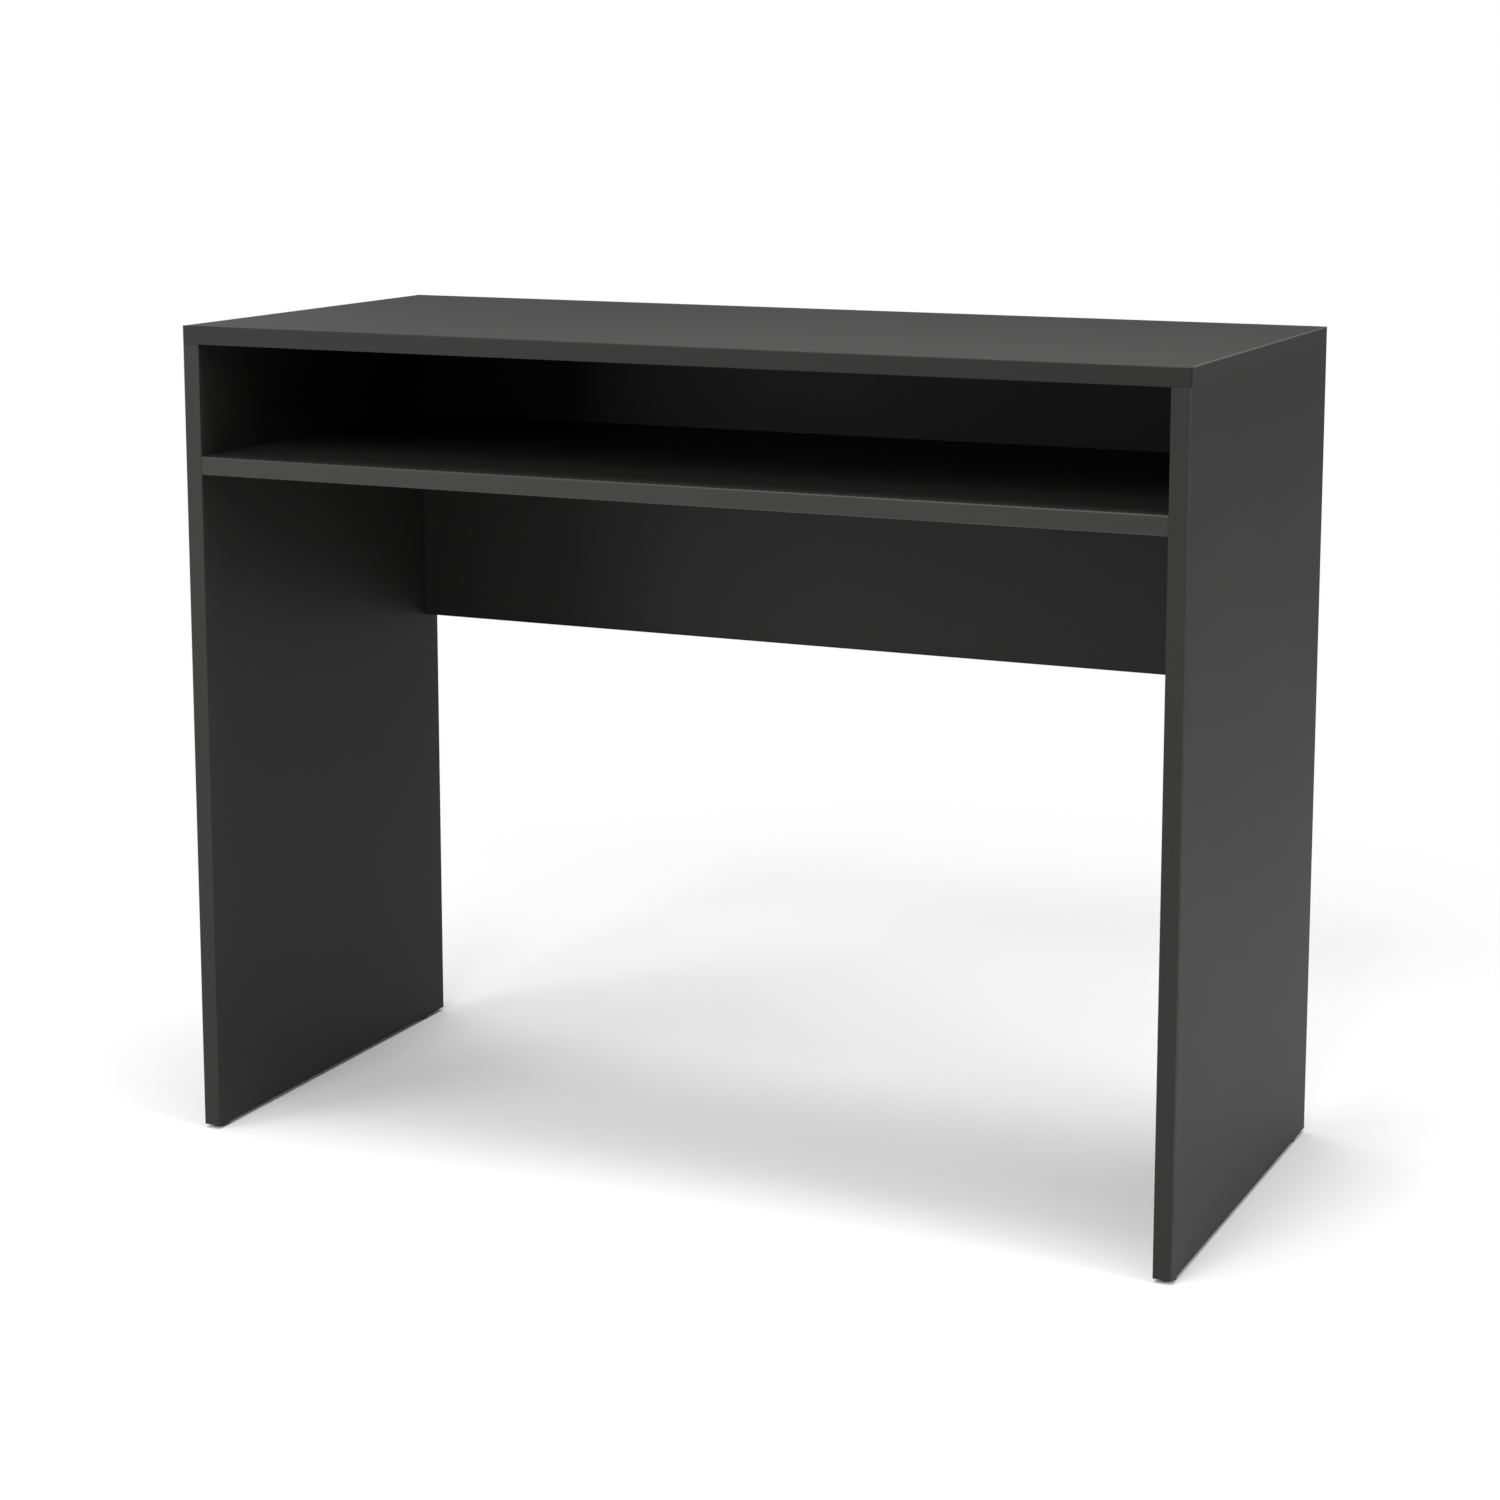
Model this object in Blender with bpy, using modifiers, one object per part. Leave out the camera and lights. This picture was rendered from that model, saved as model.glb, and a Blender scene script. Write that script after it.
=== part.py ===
"""Computer desk with a fixed keyboard shelf, in melamine-faced chipboard.

Five boards make the desk: a top that lies on two side panels, a keyboard shelf
and a back panel that stand between the sides. Their edges carry thin plastic
bands. Cam fittings and dowels hold the boards together, the cams that face
the keyboard compartment have cover caps, and each side panel stands on two
push-in glides. Lengths are in metres, +Z is up, +X runs to the right and -Y
faces the sitter. The origin is on the floor, under the middle.
"""
import math

import bmesh
import bpy
from mathutils import Matrix, Vector

# The desk as a whole.
DESK_WIDTH = 0.900
DESK_DEPTH = 0.400
DESK_HEIGHT = 0.720

# Boards and the bands on their edges.
BOARD = 0.016               # thickness of every board
BAND = 0.002                # thickness of an edge band
ARRIS = 0.0012              # radius along the outer corners of a band
COMPARTMENT_HEIGHT = 0.097  # clear height between keyboard shelf and top
BACK_HEIGHT = 0.295         # height of the back panel
BACK_INSET = 0.008          # back panel's rear face to the desk's rear
GAP = 0.0003                # clearance between two pieces that meet

# Glides under the side panels, each with a ribbed stem pushed into the panel.
GLIDE_HEIGHT = 0.003
GLIDE_RADIUS = 0.0075
GLIDE_FLAT_RADIUS = 0.0055  # the part of its sole that touches the floor
GLIDE_FROM_FRONT = 0.0135   # front glides' centres to the panel's front edge
GLIDE_FROM_REAR = 0.032     # rear glides' centres to its rear edge
STEM_RADIUS = 0.0030        # over the ribs
STEM = 0.018                # length above the glide
STEM_POINT = 0.002          # length of the stem's blunt point
STEM_RIBS = 4
RIB_PITCH = 0.0035
RIB_HEIGHT = 0.0004         # rib above the stem's core

# Cam fittings: a cam in one board, and a bolt screwed into the next.
CAM_RADIUS = 0.0075
CAM_BELOW_BOLT = 0.0045     # cam's depth below the bolt's centre line
CAM_CROSS_LENGTH = 0.0075
CAM_CROSS_WIDTH = 0.0014
CAM_CROSS_DEPTH = 0.0020
CAP_OVERLAP = 0.0010        # how far a cover cap reaches past the cam under it
CAP_RADIUS = CAM_RADIUS + CAP_OVERLAP
CAP_THICKNESS = 0.0010
CAP_CHAMFER = 0.0004
BOLT_REACH = 0.034          # board's edge to the centre of the cam
BOLT_PAST_CENTRE = 0.0012   # bolt's head beyond the cam's centre
BOLT_THREAD_RADIUS = 0.0025
BOLT_THREAD = 0.011         # length screwed into the next board
BOLT_COLLAR_RADIUS = 0.0035
BOLT_COLLAR = 0.005
BOLT_SHANK_RADIUS = 0.0030
BOLT_NECK_RADIUS = 0.0020
BOLT_NECK = 0.0045
BOLT_HEAD_RADIUS = 0.0032
BOLT_HEAD = 0.0035
TOP_CAM_FROM_END = 0.100    # cams under the top to its front and rear edges
TOP_DOWEL_FROM_END = 0.050  # dowels under the top to the same edges
FITTING_FROM_FRONT = 0.050  # shelf's fittings to the front edge
FITTING_FROM_REAR = 0.060   # shelf's fittings to the back panel
FITTING_FROM_FOOT = 0.045   # fittings to the back panel's upper and lower edge

# Dowels.
DOWEL_RADIUS = 0.004
DOWEL_LENGTH = 0.030
DOWEL_IN_FACE = 0.011       # length that stands in the face of a board
DOWEL_CHAMFER = 0.001
BACK_DOWEL_SPACING = 0.400  # between the two dowels of the back panel's top

HOLE_END = 0.0008           # room left at the closed end of a hole
OVERCUT = 0.002             # a cutter's reach outside the board

# Sides of the polygons that stand for circles.
CAM_SIDES = 20
PIN_SIDES = 10
HOLE_SIDES = 12
GLIDE_SIDES = 20
ARRIS_STEPS = 2

# Planes that the boards share.
RIGHT = DESK_WIDTH / 2
FRONT = -DESK_DEPTH / 2
REAR = DESK_DEPTH / 2
TOP_UNDERSIDE = DESK_HEIGHT - BOARD
SIDE_INNER = RIGHT - BOARD
SIDE_MIDDLE = RIGHT - BOARD / 2
SIDE_HEAD = TOP_UNDERSIDE - GAP
SIDE_FOOT = GLIDE_HEIGHT + GAP
BETWEEN_SIDES = SIDE_INNER - GAP
SHELF_TOP = TOP_UNDERSIDE - COMPARTMENT_HEIGHT
SHELF_MIDDLE = SHELF_TOP - BOARD / 2
BACK_REAR = REAR - BACK_INSET
BACK_FRONT = BACK_REAR - BOARD
BACK_MIDDLE = BACK_REAR - BOARD / 2
BACK_FOOT = TOP_UNDERSIDE - BACK_HEIGHT
BANDED = BAND + GAP         # a board's core stops this far inside its band

SIDES = {"left": -1, "right": 1}
GLIDE_PLACES = {"front": FRONT + GLIDE_FROM_FRONT, "rear": REAR - GLIDE_FROM_REAR}
TOP_CAMS = {"front": FRONT + TOP_CAM_FROM_END, "rear": REAR - TOP_CAM_FROM_END}
TOP_DOWELS = {"front": FRONT + TOP_DOWEL_FROM_END, "rear": REAR - TOP_DOWEL_FROM_END}
SHELF_FITTINGS = {"front": FRONT + FITTING_FROM_FRONT, "rear": BACK_FRONT - FITTING_FROM_REAR}
BACK_FITTINGS = {"upper": TOP_UNDERSIDE - FITTING_FROM_FOOT, "lower": BACK_FOOT + FITTING_FROM_FOOT}

X = Vector((1, 0, 0))
Y = Vector((0, 1, 0))
Z = Vector((0, 0, 1))


# Scene, collections and materials.

def clear_scene():
    """Remove the objects that the scene starts with."""
    for item in list(bpy.data.objects):
        bpy.data.objects.remove(item)


def new_collection(name):
    """Add a collection to the scene."""
    collection = bpy.data.collections.new(name)
    bpy.context.scene.collection.children.link(collection)
    return collection


def new_material(name, colour, roughness, metallic=0.0):
    """A Principled material of one colour, given as linear red, green and blue."""
    material = bpy.data.materials.new(name)
    material.use_nodes = True
    material.diffuse_color = (*colour, 1.0)
    shader = material.node_tree.nodes["Principled BSDF"]
    shader.inputs["Base Color"].default_value = (*colour, 1.0)
    shader.inputs["Roughness"].default_value = roughness
    shader.inputs["Metallic"].default_value = metallic
    return material


clear_scene()
PARTS = new_collection("computer_desk_with_keyboard_shelf")
CUTTERS = new_collection("cutters")

MELAMINE = new_material("charcoal_melamine", (0.040, 0.040, 0.040), 0.50)
EDGE_BAND = new_material("charcoal_edge_band", (0.038, 0.038, 0.038), 0.45)
CAP_PLASTIC = new_material("charcoal_plastic", (0.036, 0.036, 0.036), 0.50)
CAST_ZINC = new_material("cast_zinc", (0.42, 0.42, 0.43), 0.45, 0.90)
ZINC_STEEL = new_material("zinc_plated_steel", (0.56, 0.57, 0.58), 0.32, 1.0)
BEECH = new_material("beech", (0.52, 0.36, 0.20), 0.65)
BLACK_PLASTIC = new_material("black_plastic", (0.018, 0.018, 0.019), 0.48)


# Shapes.

def add_object(name, mesh, collection=PARTS):
    """Link a mesh under a name in a collection."""
    item = bpy.data.objects.new(name, mesh)
    collection.objects.link(item)
    return item


def block_mesh(name, size):
    """A box mesh of the given size about its own centre."""
    edit = bmesh.new()
    bmesh.ops.create_cube(edit, size=1.0, matrix=Matrix.Diagonal((*size, 1.0)))
    mesh = bpy.data.meshes.new(name)
    edit.to_mesh(mesh)
    edit.free()
    return mesh


def cylinder_mesh(name, radius, length, sides):
    """A cylinder mesh that stands on its origin, along +Z."""
    edit = bmesh.new()
    bmesh.ops.create_cone(edit, cap_ends=True, segments=sides, radius1=radius,
                          radius2=radius, depth=length,
                          matrix=Matrix.Translation((0, 0, length / 2)))
    mesh = bpy.data.meshes.new(name)
    edit.to_mesh(mesh)
    edit.free()
    return mesh


def block(name, low, high, material, collection=PARTS):
    """A box between its lowest and highest corner."""
    low, high = Vector(low), Vector(high)
    mesh = block_mesh(name, high - low)
    mesh.materials.append(material)
    item = add_object(name, mesh, collection)
    item.location = (low + high) / 2
    return item


def band(name, low, high, outward):
    """An edge band between two corners, rounded along its two outer corners."""
    strip = block(name, low, high, EDGE_BAND)
    edit = bmesh.new()
    edit.from_mesh(strip.data)
    size = Vector(high) - Vector(low)
    length = max(size)
    face = max(vertex.co.dot(outward) for vertex in edit.verts)
    outer = [edge for edge in edit.edges
             if edge.calc_length() > length - GAP
             and all(vertex.co.dot(outward) > face - GAP for vertex in edge.verts)]
    bmesh.ops.bevel(edit, geom=outer, offset=ARRIS, segments=ARRIS_STEPS,
                    profile=0.5, affect="EDGES")
    edit.to_mesh(strip.data)
    edit.free()
    return strip


def turned_to(z_axis, x_axis):
    """The rotation that takes +Z and +X to two directions at right angles."""
    y_axis = z_axis.cross(x_axis)
    return Matrix((x_axis, y_axis, z_axis)).transposed().to_euler()


def any_side(z_axis):
    """A direction at right angles to the given one."""
    return X if abs(z_axis.dot(X)) < 0.5 else Y


def turned_mesh(name, profile, sides):
    """A profile of (radius, height) points turned about Z and merged at the axis."""
    mesh = bpy.data.meshes.new(name)
    points = [(radius, 0, height) for radius, height in profile]
    steps = [(index, index + 1) for index in range(len(points) - 1)]
    mesh.from_pydata(points, steps, [])
    template = add_object(name, mesh)
    screw = template.modifiers.new("turn", "SCREW")
    screw.steps = sides
    screw.render_steps = sides
    screw.use_merge_vertices = True
    screw.merge_threshold = 0.00001
    return baked_mesh(template)


def baked_mesh(template):
    """The mesh of an object with its modifiers; the object itself goes."""
    bpy.context.view_layer.update()
    depsgraph = bpy.context.evaluated_depsgraph_get()
    mesh = bpy.data.meshes.new_from_object(template.evaluated_get(depsgraph))
    mesh.name = template.name
    bpy.data.objects.remove(template)
    return mesh


def add_turned_piece(name, mesh, at, z_axis, x_axis=None):
    """A piece that shares a mesh, with its own place and direction."""
    item = add_object(name, mesh)
    item.location = at
    item.rotation_euler = turned_to(z_axis, x_axis or any_side(z_axis))
    return item


# Cutting.

def combine(item, tool, operation):
    """Join a tool shape to an object, or take it out, with a live Boolean modifier."""
    tool.hide_render = True
    tool.display_type = "WIRE"
    modifier = item.modifiers.new(tool.name, "BOOLEAN")
    modifier.operation = operation
    modifier.solver = "EXACT"
    modifier.object = tool


def cut(item, cutter):
    """Take a cutter out of an object."""
    combine(item, cutter, "DIFFERENCE")


def hole_radius(radius, sides):
    """Radius of a polygon whose flats clear a pin of the given radius by GAP."""
    return (radius + GAP) / math.cos(math.pi / sides)


def drill(board, name, mouth, inward, radius, depth, sides=HOLE_SIDES):
    """Drill a round hole from a mouth on the board's surface."""
    mesh = cylinder_mesh(name, hole_radius(radius, sides), depth + OVERCUT, sides)
    drill_bit = add_object(name, mesh, CUTTERS)
    drill_bit.location = mouth - inward * OVERCUT
    drill_bit.rotation_euler = turned_to(inward, any_side(inward))
    cut(board, drill_bit)


# Fittings, one mesh for each kind.

def cam_mesh():
    """The cam: a disc with a driving cross and a channel for the bolt's head.

    Its face is at height 0, looking along +Z, and the bolt comes from +X.
    """
    height = BOARD / 2 + CAM_BELOW_BOLT - GAP
    mesh = cylinder_mesh("cam", CAM_RADIUS, height, CAM_SIDES)
    mesh.transform(Matrix.Translation((0, 0, -height)))
    mesh.materials.append(CAST_ZINC)
    cam = add_object("cam", mesh)
    room = BOLT_HEAD_RADIUS + 2 * GAP
    axis = GAP - BOARD / 2
    channel = block("cam_channel", (-BOLT_PAST_CENTRE - 2 * GAP, -room, axis - room),
                    (CAM_RADIUS + OVERCUT, room, axis + room), CAST_ZINC, CUTTERS)
    cut(cam, channel)
    for arm in cross_arms("cam_cross", CAM_CROSS_LENGTH, CAM_CROSS_WIDTH, -CAM_CROSS_DEPTH, OVERCUT):
        cut(cam, arm)
    return baked_mesh(cam)


def cross_arms(name, length, width, low, high):
    """The two crossing blocks of a driving cross, between two heights."""
    sizes = {"long": (length / 2, width / 2), "wide": (width / 2, length / 2)}
    return [block(f"{name}_{way}", (-x, -y, low), (x, y, high), CAST_ZINC, CUTTERS)
            for way, (x, y) in sizes.items()]


def cap_mesh():
    """The cover cap: a flat disc whose nib presses into the cam's driving cross.

    Height 0 is the board's face, and the cap looks along +Z.
    """
    face = GAP + CAP_THICKNESS
    mesh = turned_mesh("cap", [
        (0, face),
        (CAP_RADIUS - CAP_CHAMFER, face),
        (CAP_RADIUS, face - CAP_CHAMFER),
        (CAP_RADIUS, GAP),
        (0, GAP),
    ], CAM_SIDES)
    mesh.materials.append(CAP_PLASTIC)
    cap = add_object("cap", mesh)
    nib_length = CAM_CROSS_LENGTH - 2 * GAP
    nib_width = CAM_CROSS_WIDTH - 2 * GAP
    for arm in cross_arms("cap_nib", nib_length, nib_width, -CAM_CROSS_DEPTH, face - CAP_THICKNESS / 2):
        combine(cap, arm, "UNION")
    return baked_mesh(cap)


def bolt_mesh():
    """The cam bolt: thread below height 0, then collar, shank, neck and head."""
    tip = BOLT_REACH + BOLT_PAST_CENTRE
    head = tip - BOLT_HEAD
    neck = head - BOLT_NECK
    mesh = turned_mesh("bolt", [
        (0, tip),
        (BOLT_HEAD_RADIUS * 0.7, tip),
        (BOLT_HEAD_RADIUS, tip - BOLT_HEAD * 0.4),
        (BOLT_HEAD_RADIUS, head),
        (BOLT_NECK_RADIUS, head),
        (BOLT_NECK_RADIUS, neck),
        (BOLT_SHANK_RADIUS, neck - (BOLT_SHANK_RADIUS - BOLT_NECK_RADIUS)),
        (BOLT_SHANK_RADIUS, BOLT_COLLAR),
        (BOLT_COLLAR_RADIUS, BOLT_COLLAR),
        (BOLT_COLLAR_RADIUS, GAP),
        (BOLT_THREAD_RADIUS, GAP),
        (BOLT_THREAD_RADIUS, -BOLT_THREAD * 0.85),
        (BOLT_THREAD_RADIUS * 0.5, -BOLT_THREAD),
        (0, -BOLT_THREAD),
    ], PIN_SIDES)
    mesh.materials.append(ZINC_STEEL)
    return mesh


def dowel_mesh():
    """The dowel: height 0 is where it leaves the face of a board."""
    top = DOWEL_LENGTH - DOWEL_IN_FACE
    mesh = turned_mesh("dowel", [
        (0, top),
        (DOWEL_RADIUS - DOWEL_CHAMFER, top),
        (DOWEL_RADIUS, top - DOWEL_CHAMFER),
        (DOWEL_RADIUS, DOWEL_CHAMFER - DOWEL_IN_FACE),
        (DOWEL_RADIUS - DOWEL_CHAMFER, -DOWEL_IN_FACE),
        (0, -DOWEL_IN_FACE),
    ], PIN_SIDES)
    mesh.materials.append(BEECH)
    return mesh


def glide_mesh():
    """The glide: a low dome with a ribbed stem, in one moulding, measured from the floor."""
    drop = GLIDE_HEIGHT / 2
    core = STEM_RADIUS - RIB_HEIGHT
    tip = GLIDE_HEIGHT + STEM
    ribs = []
    for rib in range(STEM_RIBS):
        high = tip - STEM_POINT - rib * RIB_PITCH
        ribs += [(core, high), (STEM_RADIUS, high - RIB_PITCH / 2), (core, high - RIB_PITCH / 2)]
    dome = []
    for step in range(1, 5):
        angle = step * math.pi / 10
        radius = GLIDE_FLAT_RADIUS + (GLIDE_RADIUS - GLIDE_FLAT_RADIUS) * math.cos(angle)
        dome.append((radius, drop - drop * math.sin(angle)))
    mesh = turned_mesh("glide", [
        (0, tip),
        (core / 2, tip),
        *ribs,
        (core, GLIDE_HEIGHT),
        (GLIDE_RADIUS, GLIDE_HEIGHT),
        (GLIDE_RADIUS, drop),
        *dome,
        (GLIDE_FLAT_RADIUS, 0),
        (0, 0),
    ], GLIDE_SIDES)
    mesh.materials.append(BLACK_PLASTIC)
    return mesh


CAM_MESH = cam_mesh()
CAP_MESH = cap_mesh()
BOLT_MESH = bolt_mesh()
DOWEL_MESH = dowel_mesh()
GLIDE_MESH = glide_mesh()


# Joints between a board's face and another board's edge.

def cam_joint(name, faced_board, edged_board, point, inward, cam_face, capped=False):
    """A bolt in one board's face, drawn into a cam in the board that meets it.

    point is on the face, inward runs into the meeting board's edge, and
    cam_face is the way that the cam's own face looks.
    """
    centre = point + inward * (GAP + BOLT_REACH)
    mouth = centre + cam_face * (BOARD / 2)
    drill(faced_board, f"{name}_thread_hole", point, -inward,
          BOLT_THREAD_RADIUS, BOLT_THREAD + HOLE_END)
    drill(edged_board, f"{name}_shank_hole", point + inward * GAP, inward,
          BOLT_COLLAR_RADIUS, BOLT_REACH)
    drill(edged_board, f"{name}_cam_bore", mouth, -cam_face,
          CAM_RADIUS, BOARD / 2 + CAM_BELOW_BOLT + GAP, CAM_SIDES)
    add_turned_piece(f"cam_bolt_{name}", BOLT_MESH, point, inward)
    add_turned_piece(f"cam_{name}", CAM_MESH, mouth - cam_face * GAP, cam_face, -inward)
    if capped:
        add_turned_piece(f"cap_{name}", CAP_MESH, mouth, cam_face, -inward)


def dowel_joint(name, faced_board, edged_board, point, inward):
    """A dowel from one board's face into the edge of the board that meets it."""
    drill(faced_board, f"{name}_face_hole", point, -inward,
          DOWEL_RADIUS, DOWEL_IN_FACE + HOLE_END)
    drill(edged_board, f"{name}_edge_hole", point + inward * GAP, inward,
          DOWEL_RADIUS, DOWEL_LENGTH - DOWEL_IN_FACE + HOLE_END)
    add_turned_piece(f"dowel_{name}", DOWEL_MESH, point, inward)


# The boards with their bands.

def make_top():
    """The top and the bands on its four edges."""
    right = RIGHT - BANDED
    front, rear = FRONT + BANDED, REAR - BANDED
    board = block("desk_top", (-right, front, TOP_UNDERSIDE), (right, rear, DESK_HEIGHT), MELAMINE)
    band("desk_top_front_band", (-RIGHT, FRONT, TOP_UNDERSIDE), (RIGHT, FRONT + BAND, DESK_HEIGHT), -Y)
    band("desk_top_rear_band", (-RIGHT, REAR - BAND, TOP_UNDERSIDE), (RIGHT, REAR, DESK_HEIGHT), Y)
    for side, sign in SIDES.items():
        near, far = sorted((sign * RIGHT, sign * (RIGHT - BAND)))
        band(f"desk_top_{side}_band", (near, front, TOP_UNDERSIDE), (far, rear, DESK_HEIGHT), sign * X)
    return board


def make_side(side, sign):
    """A side panel with its front, rear and bottom bands."""
    name = f"{side}_side_panel"
    low_x, high_x = sorted((sign * SIDE_INNER, sign * RIGHT))
    front, rear = FRONT + BANDED, REAR - BANDED
    board = block(name, (low_x, front, SIDE_FOOT + BANDED), (high_x, rear, SIDE_HEAD), MELAMINE)
    band(f"{name}_front_band", (low_x, FRONT, SIDE_FOOT), (high_x, FRONT + BAND, SIDE_HEAD), -Y)
    band(f"{name}_rear_band", (low_x, REAR - BAND, SIDE_FOOT), (high_x, REAR, SIDE_HEAD), Y)
    foot = band(f"{name}_bottom_band", (low_x, front, SIDE_FOOT), (high_x, rear, SIDE_FOOT + BAND), -Z)
    return board, foot


def make_shelf():
    """The keyboard shelf, which fills the space between the sides."""
    low, high = SHELF_TOP - BOARD, SHELF_TOP
    board = block("keyboard_shelf", (-BETWEEN_SIDES, FRONT + BANDED, low),
                  (BETWEEN_SIDES, BACK_FRONT - GAP, high), MELAMINE)
    band("keyboard_shelf_front_band", (-BETWEEN_SIDES, FRONT, low),
         (BETWEEN_SIDES, FRONT + BAND, high), -Y)
    return board


def make_back():
    """The back panel, upright between the sides behind the shelf."""
    board = block("back_panel", (-BETWEEN_SIDES, BACK_FRONT, BACK_FOOT + BANDED),
                  (BETWEEN_SIDES, BACK_REAR, SIDE_HEAD), MELAMINE)
    band("back_panel_bottom_band", (-BETWEEN_SIDES, BACK_FRONT, BACK_FOOT),
         (BETWEEN_SIDES, BACK_REAR, BACK_FOOT + BAND), -Z)
    return board


# How the boards are joined.

def join_top_to_side(top, panel, side, sign):
    """Two capped cams and two dowels between the top and one side panel."""
    for end, y in TOP_CAMS.items():
        point = Vector((sign * SIDE_MIDDLE, y, TOP_UNDERSIDE))
        cam_joint(f"top_{side}_{end}", top, panel, point, -Z, -sign * X, capped=True)
    for end, y in TOP_DOWELS.items():
        point = Vector((sign * SIDE_MIDDLE, y, TOP_UNDERSIDE))
        dowel_joint(f"top_{side}_{end}", top, panel, point, -Z)


def join_shelf_to_side(panel, shelf, side, sign):
    """Two cams under the shelf and a dowel between them."""
    for end, y in SHELF_FITTINGS.items():
        point = Vector((sign * SIDE_INNER, y, SHELF_MIDDLE))
        cam_joint(f"shelf_{side}_{end}", panel, shelf, point, -sign * X, -Z)
    middle = sum(SHELF_FITTINGS.values()) / 2
    dowel_joint(f"shelf_{side}", panel, shelf, Vector((sign * SIDE_INNER, middle, SHELF_MIDDLE)),
                -sign * X)


def join_back_to_side(panel, back, side, sign):
    """Two cams in the rear face of the back panel and a dowel between them."""
    for height, z in BACK_FITTINGS.items():
        point = Vector((sign * SIDE_INNER, BACK_MIDDLE, z))
        cam_joint(f"back_{side}_{height}", panel, back, point, -sign * X, Y)
    middle = sum(BACK_FITTINGS.values()) / 2
    dowel_joint(f"back_{side}", panel, back, Vector((sign * SIDE_INNER, BACK_MIDDLE, middle)),
                -sign * X)


def join_back_to_top(top, back):
    """Two dowels that keep the middle of the back panel in line with the top."""
    for side, sign in SIDES.items():
        point = Vector((sign * BACK_DOWEL_SPACING / 2, BACK_MIDDLE, TOP_UNDERSIDE))
        dowel_joint(f"back_top_{side}", top, back, point, -Z)


def add_glides(panel, foot, side, sign):
    """Two glides under a side panel, each pushed up through the bottom band."""
    for end, y in GLIDE_PLACES.items():
        name = f"{end}_{side}"
        floor = Vector((sign * SIDE_MIDDLE, y, 0))
        drill(foot, f"{name}_band_hole", floor + Z * SIDE_FOOT, Z,
              STEM_RADIUS, BAND + OVERCUT, GLIDE_SIDES)
        drill(panel, f"{name}_stem_hole", floor + Z * (SIDE_FOOT + BANDED), Z,
              STEM_RADIUS, STEM - BANDED + HOLE_END, GLIDE_SIDES)
        add_turned_piece(f"glide_{name}", GLIDE_MESH, floor, Z)


def main():
    """Build the desk."""
    top = make_top()
    shelf = make_shelf()
    back = make_back()
    for side, sign in SIDES.items():
        panel, foot = make_side(side, sign)
        join_top_to_side(top, panel, side, sign)
        join_shelf_to_side(panel, shelf, side, sign)
        join_back_to_side(panel, back, side, sign)
        add_glides(panel, foot, side, sign)
    join_back_to_top(top, back)

    origin = bpy.data.objects.new("desk_origin", None)
    PARTS.objects.link(origin)
    for item in PARTS.objects:
        if item is not origin:
            item.parent = origin


main()
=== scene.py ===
import math

import bmesh
import bpy
import numpy as np
from mathutils import Matrix, Vector


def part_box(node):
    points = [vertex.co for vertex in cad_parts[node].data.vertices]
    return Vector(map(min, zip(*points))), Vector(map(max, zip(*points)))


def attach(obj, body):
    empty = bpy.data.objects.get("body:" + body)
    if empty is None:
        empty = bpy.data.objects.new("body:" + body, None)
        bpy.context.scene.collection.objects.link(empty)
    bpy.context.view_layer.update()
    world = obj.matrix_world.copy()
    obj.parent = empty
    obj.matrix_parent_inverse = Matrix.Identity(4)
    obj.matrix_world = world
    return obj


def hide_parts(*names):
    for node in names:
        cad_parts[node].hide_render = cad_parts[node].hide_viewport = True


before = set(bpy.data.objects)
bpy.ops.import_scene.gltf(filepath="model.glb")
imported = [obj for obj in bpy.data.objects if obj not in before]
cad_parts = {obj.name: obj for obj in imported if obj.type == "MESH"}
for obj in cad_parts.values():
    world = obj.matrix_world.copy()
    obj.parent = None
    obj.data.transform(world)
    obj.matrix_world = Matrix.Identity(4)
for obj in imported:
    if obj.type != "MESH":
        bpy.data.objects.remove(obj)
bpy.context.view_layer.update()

# A charcoal computer desk of five melamine-faced boards with plastic edge bands, held by cams,
# bolts and dowels. Every board, band and fitting is drawn again here as a fine surface in the
# place that the frame gives it. Lengths are in metres.

SEAM = 0.00004              # what is left open between two pieces pressed together
TOUCHING = 0.0005           # pieces this near to each other are pressed together
FACE_ARRIS = 0.00015        # the barely broken corner along a board's face
BAND_ARRIS = 0.0014         # scraped round corner along a band
TIGHT_ARRIS = 0.0003        # the same under a board and where the band lies against a piece
ARC_STEPS = 8
BAND_STATIONS = 24          # sections along the straight part of a band
ARRIS_HIGHLIGHT_REACH = 0.8          # how far the painted highlight on a round corner fades, as a share of its radius
MERGED = 2e-6               # points nearer than this are one point

HOLE_CLEARANCE = 0.0003     # room all round a fitting
PIN_ROOM = 0.0008           # how far a hole runs past the end of its pin
OUTSIDE = 0.001             # how far a cutter starts outside the face that it cuts

CAM_CHAMFER = 0.0005
CAM_CHANNEL_HALF = 0.0038   # half the width of the channel that takes the bolt's head
CAM_CHANNEL_PAST = 0.0018   # how far the channel runs past the cam's centre
CROSS_LENGTH = 0.0078
CROSS_WIDTH = 0.0016
CROSS_DEPTH = 0.0026
CROSS_FLOOR_SCALE = 0.62    # the driving cross narrows towards its floor
MARK_REACH = 0.0066         # point of the arrow that shows the bolt's side
MARK_SIZE = 0.0016
MARK_DEPTH = 0.0004

CAP_ROUND = 0.0004          # rounding of a cover cap's rim
CAP_CROWN = 0.00012         # rise of a cover cap's face in the middle

BOLT_THREAD = 0.011         # length of the thread
BOLT_PITCH = 0.0022
BOLT_CREST = 0.0025         # this and the five below it are radii
BOLT_ROOT = 0.0018
BOLT_COLLAR = 0.0035
BOLT_SHANK = 0.0030
BOLT_NECK = 0.0020
BOLT_HEAD = 0.0032
BOLT_HEAD_LENGTH = 0.0035

DOWEL_CHAMFER = 0.0010
DOWEL_FLUTES = 22
DOWEL_WINDING = 18          # turn of the flutes in radians for each metre
DOWEL_FLUTE_DEPTH = 0.00022

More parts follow.
